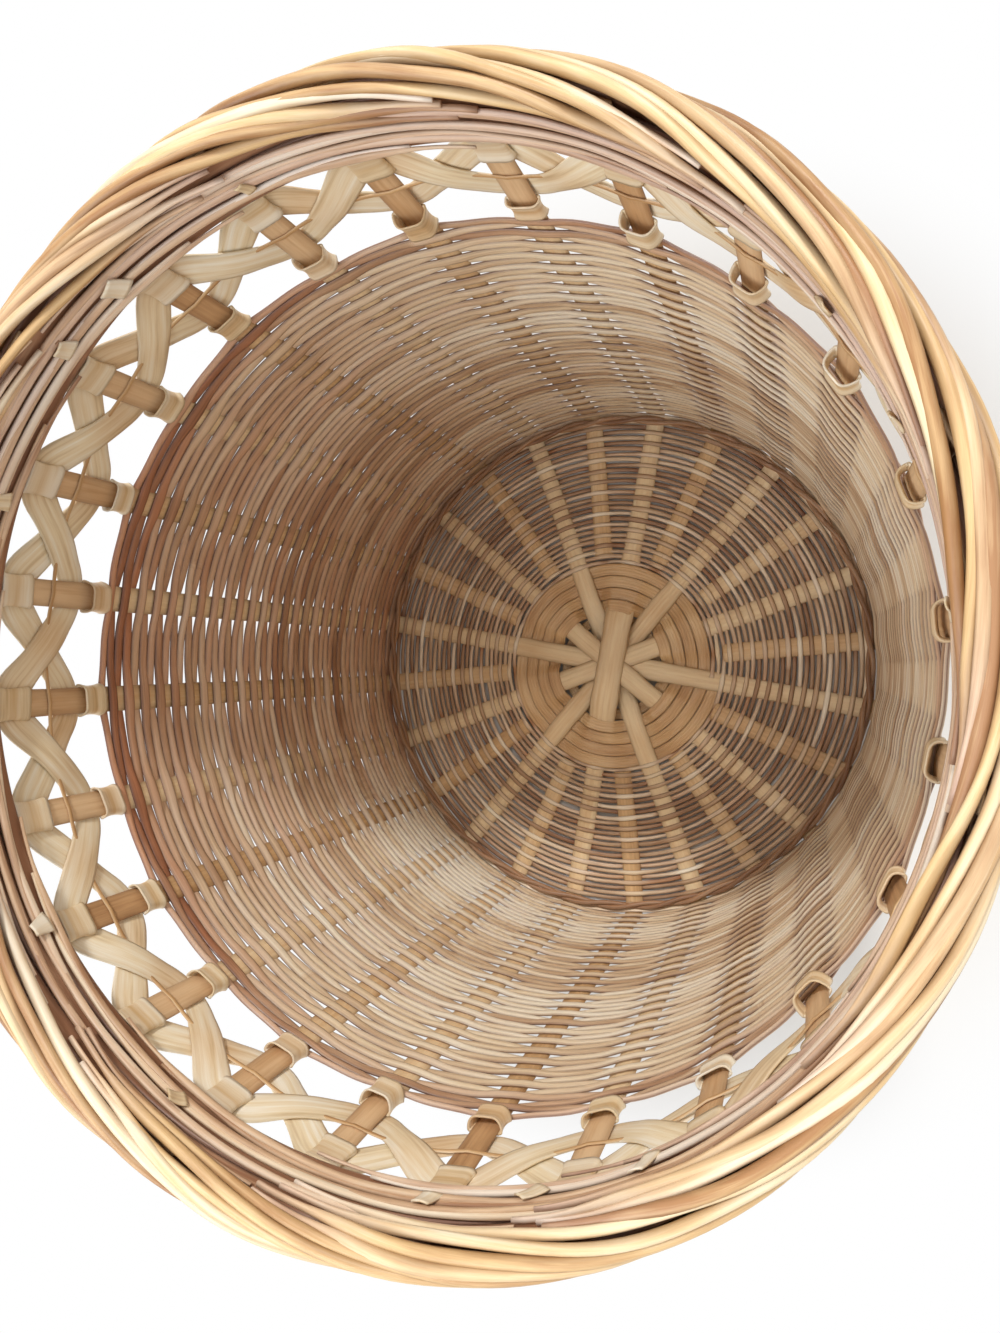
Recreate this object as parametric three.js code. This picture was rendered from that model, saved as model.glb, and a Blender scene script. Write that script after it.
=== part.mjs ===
// Woven bamboo planter basket. Flat splints cross on the base and turn up as the wall's stakes.
// Weavers plait the base and the flared wall, a ribbon lattice leaves an open band near the top,
// and bundles of slivers rolled over a pair of hoops make the thick rim.
// Millimetres, +Z up. The origin is on the floor, on the basket's axis.
import * as THREE from "three";

// Driving dimensions: counts
const STAKE_COUNT = 24;
const HUB_ROUNDS = 4;
const BASE_ROWS = 6;
const WALL_ROWS = 18;
const STAKES_PER_WEAVER = 36;
const RIM_BUNDLE_COUNT = 12;

// Driving dimensions: the basket as a whole
const BASE_RADIUS = 124.6;
const WALL_LEAN = 16.2;
const RIM_TOP = 283;
const RIM_HEIGHT = 29.5;
const LATTICE_HEIGHT = 43.5;
const BASE_DOME = 5;
const DOME_RADIUS = 88;
const CORNER_RADIUS = 7;

// Driving dimensions: the splints
const GAP = 0.3;
const STAKE_WIDTH = 9;
const STAKE_THICKNESS = 1;
const HUB_INNER_RADIUS = 24;
const HUB_STRIP_WIDTH = 5.7;
const HUB_STRIP_THICKNESS = 0.8;
const PILE_RADIUS = 18.5;
const PILE_FADE_RADIUS = 38;
const BASE_WEAVER_THICKNESS = 0.8;
const WALL_WEAVER_THICKNESS = 1;
const WALL_ROW_GAP = 1;
const RIBBON_WIDTH = 9;
const RIBBON_THICKNESS = 0.8;
const RIBBON_TOP_DROP = 7;
const RIBBON_INNER_RISE = 13;
const RIBBON_OUTER_RISE = 5.5;
const THREAD_WIDTH = 1.4;
const THREAD_THICKNESS = 0.6;
const RIM_HOOP_THICKNESS = 2.4;
const RIM_BUNDLE_THICKNESS = 3;
const CORNER_HOOP_RADIUS = 2.4;

// Facets
const HOOP_SIDES = 6;
const RIM_STEPS = 48;
const RIM_BUNDLE_STEPS = 14;
const RIM_BUNDLE_FACETS = 4;
const CORNER_HOOP_STEPS = 36;
const CORNER_STEPS = 3;

// Order in which the splints are laid on each other at the middle of the base, lowest first
const SPLINT_ORDER = [4, 2, 0, 1, 5, 3];

// Derived sizes
const WALL_LENGTHS = Math.floor(((WALL_ROWS / 2) * STAKE_COUNT) / STAKES_PER_WEAVER);
const SPLINT_COUNT = SPLINT_ORDER.length;
const SPLINT_LAYER = STAKE_THICKNESS + GAP;
const SPOKE_COUNT = 2 * SPLINT_COUNT;
const STAKE_STEP = (2 * Math.PI) / STAKE_COUNT;
const SPOKE_STEP = (2 * Math.PI) / SPOKE_COUNT;
const TIP_RADIUS = BASE_RADIUS + WALL_LEAN;
const LATTICE_TOP = RIM_TOP - RIM_HEIGHT;
const WALL_TOP = LATTICE_TOP - LATTICE_HEIGHT;
const STAKE_HALF = STAKE_THICKNESS / 2;
// The hoops run straight from step to step, so they keep off the stakes by what a step cuts off.
const RIM_STEP_SAG = TIP_RADIUS * (1 - Math.cos(Math.PI / RIM_STEPS));
const RIM_HOOP_FACE = STAKE_HALF + GAP + RIM_STEP_SAG;
const RIM_FOLD = RIM_HOOP_FACE + RIM_HOOP_THICKNESS + GAP + RIM_BUNDLE_THICKNESS / 2;
const RIM_BOTTOM = LATTICE_TOP + GAP;
const STAKE_TOP = RIM_TOP - RIM_BUNDLE_THICKNESS / 2 - RIM_FOLD;
const BASE_OFFSET = STAKE_HALF + GAP + BASE_WEAVER_THICKNESS / 2;
const BASE_HEIGHT = BASE_OFFSET + BASE_WEAVER_THICKNESS / 2;
const FLARE = (TIP_RADIUS - BASE_RADIUS) / STAKE_TOP;
const FLARE_ANGLE = Math.atan(FLARE);
const CORNER_TOP = BASE_HEIGHT + CORNER_RADIUS * (1 - Math.sin(FLARE_ANGLE));
const CORNER_CENTRE = wallRadius(CORNER_TOP) - CORNER_RADIUS * Math.cos(FLARE_ANGLE);
const HUB_PITCH = HUB_STRIP_WIDTH + GAP;
const HUB_OUTER_RADIUS = HUB_INNER_RADIUS + (HUB_ROUNDS + 1) * HUB_PITCH;
const SIDE_STAKE_START = HUB_OUTER_RADIUS + GAP;

// Surfaces that the stakes follow

// Height of the base's middle surface at a distance from the axis: flat at the middle, falling in a
// low cone to a flat ring that stands on the floor.
function baseHeight(radius) {
  const share = (DOME_RADIUS - Math.abs(radius)) / (DOME_RADIUS - PILE_RADIUS);
  return BASE_HEIGHT + BASE_DOME * THREE.MathUtils.clamp(share, 0, 1);
}

// Radius of the wall's middle surface at a height.
function wallRadius(height) {
  return BASE_RADIUS + FLARE * height;
}

function stakeAngle(index) {
  return index * STAKE_STEP;
}

// How far a splint stands above the base surface where the splints are piled at the middle.
function splintLift(splint, radius) {
  const level = SPLINT_ORDER.indexOf(splint) - (SPLINT_COUNT - 1) / 2;
  const fade = (PILE_FADE_RADIUS - Math.abs(radius)) / (PILE_FADE_RADIUS - PILE_RADIUS);
  return level * SPLINT_LAYER * THREE.MathUtils.clamp(fade, 0, 1);
}

function atAngle(angle, radius, height) {
  return new THREE.Vector3(radius * Math.cos(angle), radius * Math.sin(angle), height);
}

// A closed solid through rings of points, each ring with its points in the same order.
function loft(rings) {
  const sides = rings[0].length;
  const position = rings.flat().flatMap((point) => point.toArray());
  const index = [];
  for (let ring = 0; ring + 1 < rings.length; ring++) {
    for (let side = 0; side < sides; side++) {
      const here = ring * sides + side;
      const next = ring * sides + ((side + 1) % sides);
      index.push(here, next, next + sides, here, next + sides, here + sides);
    }
  }
  const last = (rings.length - 1) * sides;
  for (let side = 1; side + 1 < sides; side++) {
    index.push(0, side + 1, side);
    index.push(last, last + side, last + side + 1);
  }
  const geometry = new THREE.BufferGeometry();
  geometry.setAttribute("position", new THREE.Float32BufferAttribute(position, 3));
  geometry.setIndex(index);
  geometry.computeVertexNormals();
  return geometry;
}

// A flat splint whose side view is a line of { out, up } points in the vertical plane at an angle.
// Its width lies across that plane, and its thickness along the line's normal.
function splintInPlane(angle, line) {
  const across = new THREE.Vector3(-Math.sin(angle), Math.cos(angle), 0);
  const direction = (from, to) => new THREE.Vector2(to.out - from.out, to.up - from.up).normalize();
  const rings = line.map((point, i) => {
    const before = direction(line[Math.max(i - 1, 0)], line[Math.max(i, 1)]);
    const after = direction(line[Math.min(i, line.length - 2)], line[Math.min(i + 1, line.length - 1)]);
    const along = before.clone().add(after).normalize();
    const reach = STAKE_HALF / along.dot(before);
    const corner = (side, face) => {
      const out = point.out - face * reach * along.y;
      const up = point.up + face * reach * along.x;
      return atAngle(angle, out, up).addScaledVector(across, (side * STAKE_WIDTH) / 2);
    };
    return [corner(1, -1), corner(1, 1), corner(-1, 1), corner(-1, -1)];
  });
  return loft(rings);
}

// Side view of a stake from the corner of the base to its tip under the rim.
function cornerAndWall() {
  const line = [];
  for (let step = 0; step <= CORNER_STEPS; step++) {
    const turn = (step / CORNER_STEPS) * (Math.PI / 2 - FLARE_ANGLE);
    line.push({
      out: CORNER_CENTRE + CORNER_RADIUS * Math.sin(turn),
      up: BASE_HEIGHT + CORNER_RADIUS * (1 - Math.cos(turn)),
    });
  }
  line.push({ out: wallRadius(STAKE_TOP), up: STAKE_TOP });
  return line;
}

// One splint laid right across the base, with both ends turned up as stakes.
function baseSplint(splint) {
  const half = [0, PILE_RADIUS, PILE_FADE_RADIUS, DOME_RADIUS]
    .map((out) => ({ out, up: baseHeight(out) + splintLift(splint, out) }))
    .concat(cornerAndWall());
  const mirrored = half.slice(1).reverse().map(({ out, up }) => ({ out: -out, up }));
  return splintInPlane(splint * SPOKE_STEP, mirrored.concat(half));
}

// One of the stakes added between the splints, from the hub's edge to the rim.
function sideStake(spoke) {
  const inner = [SIDE_STAKE_START, DOME_RADIUS].map((out) => ({ out, up: baseHeight(out) }));
  return splintInPlane((spoke + 0.5) * SPOKE_STEP, inner.concat(cornerAndWall()));
}

// A strip lying on the base: rings of four corners at path points { angle, radius, lift }.
function stripOnBase(path, width, thickness) {
  const rings = path.map(({ angle, radius, surface, lift }) => {
    const corner = (outward, upward) => {
      const out = radius + (outward * width) / 2;
      return atAngle(angle, out, surface(out) + lift + (upward * thickness) / 2);
    };
    return [corner(-1, -1), corner(1, -1), corner(1, 1), corner(-1, 1)];
  });
  return loft(rings.reverse());
}

// Path of a strip that spirals out, over one spoke and under the next, flat across each spoke.
function plaitedSpiral({ first, count, step, width, radiusAt, surfaceAt, lift, above }) {
  const path = [];
  for (let i = 0; i < count; i++) {
    const spoke = first + i;
    const radius = radiusAt((spoke * step) / (2 * Math.PI));
    const reach = (STAKE_WIDTH / 2 + GAP) / (radius - width / 2);
    for (const side of [-1, 1]) {
      path.push({
        angle: spoke * step + side * reach,
        radius,
        surface: surfaceAt(spoke),
        lift: above(spoke) ? lift : -lift,
      });
    }
  }
  return path;
}

// The broad strip coiled round the crossing splints. It rides over every second spoke.
function hubCoil() {
  const lift = STAKE_HALF + GAP + HUB_STRIP_THICKNESS / 2;
  const path = plaitedSpiral({
    first: 0,
    count: HUB_ROUNDS * SPOKE_COUNT,
    step: SPOKE_STEP,
    width: HUB_STRIP_WIDTH,
    radiusAt: (turn) => HUB_INNER_RADIUS + HUB_PITCH * (turn + 0.5),
    surfaceAt: (spoke) => (out) => baseHeight(out) + splintLift(spoke % SPLINT_COUNT, out),
    lift,
    above: (spoke) => spoke % 2 === 1,
  });
  return stripOnBase(path, HUB_STRIP_WIDTH, HUB_STRIP_THICKNESS);
}

// One of the two weavers that chase each other round the base.
function baseWeaver(turn) {
  const inner = SIDE_STAKE_START + GAP;
  const pitch = (CORNER_CENTRE - inner) / (BASE_ROWS + 2);
  const path = plaitedSpiral({
    first: turn,
    count: (BASE_ROWS / 2) * STAKE_COUNT,
    step: STAKE_STEP,
    width: pitch - GAP,
    radiusAt: (lap) => inner + pitch * (2 * lap + turn + 0.5),
    surfaceAt: () => baseHeight,
    lift: BASE_OFFSET,
    above: (stake) => (stake + turn) % 2 === 0,
  });
  return stripOnBase(path, pitch - GAP, BASE_WEAVER_THICKNESS);
}

// A strip standing on edge along the wall, through path points { angle, height, offset, tall }.
function stripOnWall(path, thickness) {
  const rings = path.map(({ angle, height, offset, tall }) => {
    const corner = (outward, upward) => {
      const z = height + (upward * tall) / 2;
      return atAngle(angle, wallRadius(z) + offset + (outward * thickness) / 2, z);
    };
    return [corner(-1, -1), corner(-1, 1), corner(1, 1), corner(1, -1)];
  });
  return loft(rings);
}

// Offset of a weaver that passes outside a stake, so that its slanting runs clear the stake's edges.
function outsideOffset(thickness, inside, radius) {
  const spacing = radius * STAKE_STEP;
  const clear = STAKE_HALF + GAP + thickness / 2;
  const edge = STAKE_WIDTH / 2;
  const tilt = Math.tan(STAKE_STEP / 2) + (inside + thickness / 2) / spacing;
  return (clear + edge * tilt) / (1 - edge / spacing);
}

// A weaver wound up the wall, inside one stake and outside the next. Two of them chase each other
// round, so each lap rises by two rows. The weaver's ends are behind stakes.
function windingWeaver({ turn, stakesBefore, stakes, bottom, top, rows, thickness }) {
  const rowPitch = (top - bottom) / (rows + 2 + 2 / STAKE_COUNT);
  const tall = rowPitch - WALL_ROW_GAP;
  const inside = STAKE_HALF + GAP + thickness / 2;
  const path = [];
  for (let i = 0; i <= stakes; i++) {
    const stake = turn + stakesBefore + i;
    const rowsBelow = turn + (2 * stake) / STAKE_COUNT;
    const height = bottom + rowPitch * rowsBelow + tall / 2;
    const radius = wallRadius(height);
    const end = i === 0 ? GAP / radius : i === stakes ? -GAP / radius : 0;
    path.push({
      angle: stakeAngle(stake) + end,
      height,
      offset: i % 2 === 0 ? outsideOffset(thickness, inside, radius) : -inside,
      tall,
    });
  }
  return stripOnWall(path, thickness);
}

// One length of the two weavers of the wall.
function wallWeaver(turn, length) {
  return windingWeaver({
    turn,
    stakesBefore: STAKES_PER_WEAVER * length,
    stakes: STAKES_PER_WEAVER,
    bottom: CORNER_TOP + GAP,
    top: WALL_TOP,
    rows: WALL_ROWS,
    thickness: WALL_WEAVER_THICKNESS,
  });
}

// Lattice: the inner ribbon passes inside the odd stakes high up and behind the even stakes low down.
// The outer ribbon passes inside the even stakes high up and inside the odd stakes low down, and it
// keeps outside the inner ribbon where they cross between the stakes.
const LATTICE_SPACING = wallRadius(WALL_TOP) * STAKE_STEP;
const RIBBON_AT_STAKE = STAKE_HALF + GAP + RIBBON_THICKNESS / 2;
const RIBBON_APART = (RIBBON_THICKNESS + GAP) / 2;
const WRAP_REACH = STAKE_WIDTH / 2 + 3 * GAP;
const CROSSING_START = 0.36 * LATTICE_SPACING;
const CROSSING_END = LATTICE_SPACING - WRAP_REACH - 4 * RIBBON_APART;

// Path of a ribbon over one bay, from an odd stake to an even one: places along the bay with their
// height and offset.
function ribbonBay(oddHeight, evenHeight, oddOffset, crossingOffset, evenOffset) {
  const start = WRAP_REACH;
  const end = LATTICE_SPACING - WRAP_REACH;
  const heightAt = (along) => {
    return THREE.MathUtils.mapLinear(along, start, end, oddHeight, evenHeight);
  };
  const diagonal = RIBBON_WIDTH * Math.hypot(1, (oddHeight - evenHeight) / (end - start)) * 0.9;
  return [
    { along: start, height: oddHeight, offset: oddOffset, tall: RIBBON_WIDTH },
    { along: CROSSING_START, height: heightAt(CROSSING_START), offset: crossingOffset, tall: diagonal },
    { along: CROSSING_END, height: heightAt(CROSSING_END), offset: crossingOffset, tall: diagonal },
    { along: end, height: evenHeight, offset: evenOffset, tall: RIBBON_WIDTH },
  ];
}

// A ribbon round the whole lattice: each bay is run forwards from an odd stake, then backwards.
function latticeRibbon(bay, startStake) {
  const path = [];
  for (let stake = startStake; stake < startStake + STAKE_COUNT; stake++) {
    const forwards = stake % 2 === 1;
    const points = forwards ? bay : [...bay].reverse();
    for (const { along, height, offset, tall } of points) {
      const share = (forwards ? along : LATTICE_SPACING - along) / LATTICE_SPACING;
      path.push({ angle: stakeAngle(stake + share), height, offset, tall });
    }
  }
  const ends = GAP / TIP_RADIUS;
  path.unshift({ ...path[0], angle: stakeAngle(startStake) + ends });
  path.push({ ...path[path.length - 1], angle: stakeAngle(startStake + STAKE_COUNT) - ends });
  return stripOnWall(path, RIBBON_THICKNESS);
}

function innerRibbon() {
  const high = LATTICE_TOP - RIBBON_TOP_DROP;
  const low = WALL_TOP + RIBBON_INNER_RISE;
  return latticeRibbon(ribbonBay(high, low, -RIBBON_AT_STAKE, -RIBBON_APART, RIBBON_AT_STAKE), 0);
}

function outerRibbon() {
  const high = LATTICE_TOP - RIBBON_TOP_DROP;
  const low = WALL_TOP + RIBBON_OUTER_RISE;
  return latticeRibbon(ribbonBay(low, high, -RIBBON_AT_STAKE, RIBBON_APART, -RIBBON_AT_STAKE), 1);
}

// The thin thread at the lattice's middle: across the front of each stake, and outside the ribbons.
function latticeThread() {
  const inside = STAKE_HALF + GAP + THREAD_THICKNESS / 2;
  const outside = RIBBON_APART + RIBBON_THICKNESS / 2 + GAP + THREAD_THICKNESS;
  const height = WALL_TOP + LATTICE_HEIGHT / 2;
  const turned = WRAP_REACH + inside + outside;
  const path = [];
  for (let stake = 0; stake < STAKE_COUNT; stake++) {
    for (const [along, offset] of [
      [-turned, outside],
      [-WRAP_REACH, -inside],
      [WRAP_REACH, -inside],
      [turned, outside],
    ]) {
      const angle = stakeAngle(stake + along / LATTICE_SPACING);
      path.push({ angle, height, offset, tall: THREAD_WIDTH });
    }
  }
  return stripOnWall(path, THREAD_THICKNESS);
}

// A closed hoop with its section given as { out, up } points.
function hoop(section, steps) {
  const profile = [...section, section[0]].map(({ out, up }) => new THREE.Vector2(out, up));
  const geometry = new THREE.LatheGeometry(profile, steps);
  geometry.rotateX(Math.PI / 2);
  return geometry;
}

// The heavy strand laid in the corner where the stakes turn up.
function cornerHoop() {
  const reach = (CORNER_RADIUS - STAKE_HALF - GAP - CORNER_HOOP_RADIUS) * Math.SQRT1_2;
  const section = [];
  for (let side = 0; side < HOOP_SIDES; side++) {
    const turn = (side / HOOP_SIDES) * 2 * Math.PI;
    section.push({
      out: CORNER_CENTRE + reach + CORNER_HOOP_RADIUS * Math.cos(turn),
      up: BASE_HEIGHT + CORNER_RADIUS - reach + CORNER_HOOP_RADIUS * Math.sin(turn),
    });
  }
  return hoop(section, CORNER_HOOP_STEPS);
}

// One of the two flat hoops that hold the stakes' tips between them: side is -1 inside, 1 outside.
function rimHoop(side) {
  const faces = [RIM_HOOP_FACE, RIM_HOOP_FACE + RIM_HOOP_THICKNESS].map((face) => side * face);
  const [inner, outer] = faces.sort((a, b) => a - b);
  const corner = (face, up) => ({ out: wallRadius(up) + face, up });
  const section = [
    corner(outer, RIM_BOTTOM),
    corner(outer, STAKE_TOP),
    corner(inner, STAKE_TOP),
    corner(inner, RIM_BOTTOM),
  ];
  return hoop(section, RIM_STEPS);
}

// The way over the rim: up the inside of the hoops, round over the top and down the outside.
// Gives the offset from the stakes, the height and the direction away from the hoops.
const RIM_RISE = STAKE_TOP - RIM_BOTTOM;
const RIM_WAY = 2 * RIM_RISE + Math.PI * RIM_FOLD;
const BUNDLES_ABREAST = (RIM_BUNDLE_STEPS * RIM_BUNDLE_COUNT) / RIM_STEPS;
const RIM_BUNDLE_WIDTH = RIM_WAY / (1 + BUNDLES_ABREAST) - 2 * GAP;

function overRim(along) {
  const turn = THREE.MathUtils.clamp((along - RIM_RISE) / RIM_FOLD, 0, Math.PI);
  const rise = Math.min(along, RIM_RISE, RIM_WAY - along);
  const away = new THREE.Vector2(-Math.cos(turn), Math.sin(turn));
  const up = along < RIM_RISE || along > RIM_WAY - RIM_RISE ? RIM_BOTTOM + rise : STAKE_TOP;
  return { offset: RIM_FOLD * away.x, up: up + RIM_FOLD * away.y, away };
}

// Section of a bundle: across its width it follows the way over the rim, and it thins to its edges.
function bundleSection(angle, along) {
  const faces = [[], []];
  for (let i = 0; i <= RIM_BUNDLE_FACETS; i++) {
    const across = (2 * i) / RIM_BUNDLE_FACETS - 1;
    const { offset, up, away } = overRim(along + (across * RIM_BUNDLE_WIDTH) / 2);
    const half = (RIM_BUNDLE_THICKNESS / 2) * (1 - across * across * 0.6);
    [half, -half].forEach((lift, face) => {
      const height = up + lift * away.y;
      faces[face].push(atAngle(angle, wallRadius(up) + offset + lift * away.x, height));
    });
  }
  return [...faces[0], ...faces[1].reverse()];
}

// One bundle of slivers, rolled slantwise over the rim from the inside to the outside.
function rimBundle(bundle) {
  const step = (2 * Math.PI) / RIM_STEPS;
  const start = Math.round((bundle * RIM_STEPS) / RIM_BUNDLE_COUNT) * step;
  const first = RIM_BUNDLE_WIDTH / 2;
  const rings = [];
  for (let i = 0; i <= RIM_BUNDLE_STEPS; i++) {
    const along = THREE.MathUtils.lerp(first, RIM_WAY - first, i / RIM_BUNDLE_STEPS);
    rings.push(bundleSection(start + i * step, along));
  }
  return loft(rings);
}

// Materials
function bamboo(colour, roughness) {
  return new THREE.MeshStandardMaterial({ color: colour, roughness, metalness: 0 });
}

const STAKE_BAMBOO = bamboo(0xa87850, 0.6);
const WEAVER_BAMBOO = bamboo(0xb98d66, 0.62);
const HUB_BAMBOO = bamboo(0xb8935f, 0.5);
const RIBBON_BAMBOO = bamboo(0xdcc69c, 0.55);
const RIM_BAMBOO = bamboo(0xd7a865, 0.45);

// Assembly
const basket = new THREE.Group();

function add(name, geometry, material) {
  const mesh = new THREE.Mesh(geometry, material);
  mesh.name = name;
  basket.add(mesh);
}

for (let splint = 0; splint < SPLINT_COUNT; splint++) {
  add(`base_splint_${splint + 1}`, baseSplint(splint), STAKE_BAMBOO);
}
for (let spoke = 0; spoke < STAKE_COUNT - SPOKE_COUNT; spoke++) {
  add(`side_stake_${spoke + 1}`, sideStake(spoke), STAKE_BAMBOO);
}
add("hub_coil", hubCoil(), HUB_BAMBOO);
["a", "b"].forEach((letter, turn) => {
  add(`base_weaver_${letter}`, baseWeaver(turn), WEAVER_BAMBOO);
  for (let length = 0; length < WALL_LENGTHS; length++) {
    add(`wall_weaver_${letter}${length + 1}`, wallWeaver(turn, length), WEAVER_BAMBOO);
  }
});
add("lattice_ribbon_inner", innerRibbon(), RIBBON_BAMBOO);
add("lattice_ribbon_outer", outerRibbon(), RIBBON_BAMBOO);
add("lattice_thread", latticeThread(), RIBBON_BAMBOO);
add("corner_hoop", cornerHoop(), WEAVER_BAMBOO);
add("rim_hoop_inner", rimHoop(-1), STAKE_BAMBOO);
add("rim_hoop_outer", rimHoop(1), STAKE_BAMBOO);
for (let bundle = 0; bundle < RIM_BUNDLE_COUNT; bundle++) {
  add(`rim_bundle_${bundle + 1}`, rimBundle(bundle), RIM_BAMBOO);
}

export default basket;
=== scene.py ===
"""Looks of a woven bamboo planter basket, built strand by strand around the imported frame.

Every strand is swept along its own path: the grooved splints of the base and wall, the two fine weavers
that chase each other round, the ribbons wound round the stakes, and the rods rolled over the rim.
Sizes are in millimetres, and turn into metres where a mesh is made. The stage is in metres.
"""
import math

import bpy
import numpy as np
from mathutils import Matrix, Vector


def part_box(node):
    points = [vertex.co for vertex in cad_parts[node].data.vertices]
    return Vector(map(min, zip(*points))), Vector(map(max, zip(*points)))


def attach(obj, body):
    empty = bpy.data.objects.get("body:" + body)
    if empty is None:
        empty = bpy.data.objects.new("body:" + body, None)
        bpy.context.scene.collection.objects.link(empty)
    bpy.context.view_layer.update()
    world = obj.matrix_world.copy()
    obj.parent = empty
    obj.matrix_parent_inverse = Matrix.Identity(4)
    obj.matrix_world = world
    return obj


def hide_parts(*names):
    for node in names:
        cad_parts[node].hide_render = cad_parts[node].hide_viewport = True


MM = 0.001
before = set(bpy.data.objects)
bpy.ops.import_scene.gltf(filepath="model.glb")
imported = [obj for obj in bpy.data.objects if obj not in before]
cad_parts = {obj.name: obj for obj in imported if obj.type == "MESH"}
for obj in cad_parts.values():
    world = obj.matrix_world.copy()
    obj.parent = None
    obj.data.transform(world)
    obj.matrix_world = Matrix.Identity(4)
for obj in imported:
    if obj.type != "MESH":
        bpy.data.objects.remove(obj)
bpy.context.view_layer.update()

# Counts
STAKE_COUNT = 24
SPLINT_COUNT = 6
WALL_ROWS = 52
WALL_LENGTHS = 6
BASE_ROWS = 26
HUB_ROUNDS = 4
RIM_BUNDLES = 12
RODS_PER_BUNDLE = 4
BANDS_PER_BUNDLE = 2

# Driving sizes shared with the frame
BASE_RADIUS = 124.6
WALL_TOP = 210.0
BASE_HEIGHT = 1.6
BASE_DOME = 5.0
DOME_RADIUS = 88.0
CORNER_RADIUS = 7.0
PILE_RADIUS = 18.5
PILE_FADE_RADIUS = 38.0
SPLINT_LAYER = 1.3
SPLINT_ORDER = (4, 2, 0, 1, 5, 3)
HUB_INNER_RADIUS = 24.0
HUB_OUTER_RADIUS = 54.0
RIM_FOLD = 5.3
RIM_HOOP_THICKNESS = 2.4
BUNDLE_SPAN = math.radians(105)

# Sizes that the frame gives
STAKE_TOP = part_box("rim_hoop_inner")[1][2] / MM
RIM_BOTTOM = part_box("rim_hoop_inner")[0][2] / MM
RIM_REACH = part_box("rim_hoop_outer")[1][0] / MM
TIP_RADIUS = (RIM_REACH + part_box("rim_hoop_inner")[1][0] / MM - RIM_HOOP_THICKNESS) / 2
CORNER_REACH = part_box("corner_hoop")[1][0] / MM

# Strands
STAKE_WIDTH = 9.0
STAKE_THICKNESS = 1.0
WALL_STRAND_THICKNESS = 1.45
BASE_STRAND_THICKNESS = 1.0
HUB_STRAND_WIDTH = 5.85
HUB_STRAND_THICKNESS = 0.9
RIBBON_THICKNESS = 0.6
THREAD_WIDTH = 1.6
ROD_WIDTH = 3.3
ROD_THICKNESS = 3.1
BAND_WIDTH = 2.7
BAND_THICKNESS = 1.4

# Room left below the rim, where the corner starts, and round the hub
RIM_GAP = 0.3
CORNER_MARGIN = 1.5
HUB_MARGIN = 1.2

# Derived sizes
STAKE_STEP = 2 * math.pi / STAKE_COUNT
FLARE = (TIP_RADIUS - BASE_RADIUS) / STAKE_TOP
FLARE_ANGLE = math.atan(FLARE)
CORNER_TURN = math.pi / 2 - FLARE_ANGLE
CORNER_TOP = BASE_HEIGHT + CORNER_RADIUS * (1 - math.sin(FLARE_ANGLE))
CORNER_CENTRE = BASE_RADIUS + FLARE * CORNER_TOP - CORNER_RADIUS * math.cos(FLARE_ANGLE)
RIM_RISE = STAKE_TOP - RIM_BOTTOM
RIM_WAY = 2 * RIM_RISE + math.pi * RIM_FOLD
BUNDLES_ABREAST = BUNDLE_SPAN * RIM_BUNDLES / (2 * math.pi)
HUB_PITCH = (HUB_OUTER_RADIUS - HUB_INNER_RADIUS) / (HUB_ROUNDS + 1)
WALL_START = CORNER_CENTRE + CORNER_MARGIN
WALL_RUN = (WALL_TOP - CORNER_TOP) / math.cos(FLARE_ANGLE)
WALL_END = CORNER_CENTRE + CORNER_RADIUS * CORNER_TURN + WALL_RUN
LATTICE_TOP = RIM_BOTTOM - RIM_GAP
BASE_START = HUB_OUTER_RADIUS - HUB_PITCH + HUB_MARGIN
BASE_PITCH = (WALL_START - BASE_START) / BASE_ROWS


def base_height(radius):
    """Height of the base's middle surface: a low cone that stands on its outer ring."""
    share = (DOME_RADIUS - np.abs(radius)) / (DOME_RADIUS - PILE_RADIUS)
    return BASE_HEIGHT + BASE_DOME * np.clip(share, 0, 1)


def wall_radius(height):
    return BASE_RADIUS + FLARE * height


def on_shell(angle, reach, lift):
    """Points on the basket's shell: reach runs from the axis out along the base, round the corner and
    up the wall, and lift stands off towards the inside. Also gives the directions to the inside."""
    turn = np.clip((reach - CORNER_CENTRE) / CORNER_RADIUS, 0, CORNER_TURN)
    climb = np.clip(reach - CORNER_CENTRE - CORNER_RADIUS * CORNER_TURN, 0, None)
    inward, upward = -np.sin(turn), np.cos(turn)
    flat = np.minimum(reach, CORNER_CENTRE)
    radius = flat + CORNER_RADIUS * np.sin(turn) + climb * math.sin(FLARE_ANGLE)
    height = base_height(flat) + CORNER_RADIUS * (1 - np.cos(turn)) + climb * math.cos(FLARE_ANGLE)
    path = around(angle, radius + lift * inward, height + lift * upward)
    return path, around(angle, inward, upward)


def splint_lift(splint, radius):
    """How far a splint stands above the base where the splints are piled at the middle."""
    level = SPLINT_ORDER.index(splint) - (SPLINT_COUNT - 1) / 2
    fade = (PILE_FADE_RADIUS - np.abs(radius)) / (PILE_FADE_RADIUS - PILE_RADIUS)
    fade = np.clip(fade, 0, 1)
    return level * SPLINT_LAYER * fade * fade * (3 - 2 * fade)


def around(angle, radius, height):
    """Points at angles round the axis."""
    angle, radius, height = np.broadcast_arrays(angle, radius, height)
    return np.stack([radius * np.cos(angle), radius * np.sin(angle), height], axis=1)


def away(angle):
    """Level directions away from the axis."""
    return around(angle, 1.0, 0.0)


def angle_from(middle, angle):
    """How far an angle lies from a middle one, within half a turn either way."""
    return np.mod(angle - middle + math.pi, 2 * math.pi) - math.pi


def rounded(values, power):
    """Raises values to a power and keeps their signs."""
    return np.sign(values) * np.abs(values) ** power


WAVE_SHARES = (1.0, 0.61, 0.37, 0.23)


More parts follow.
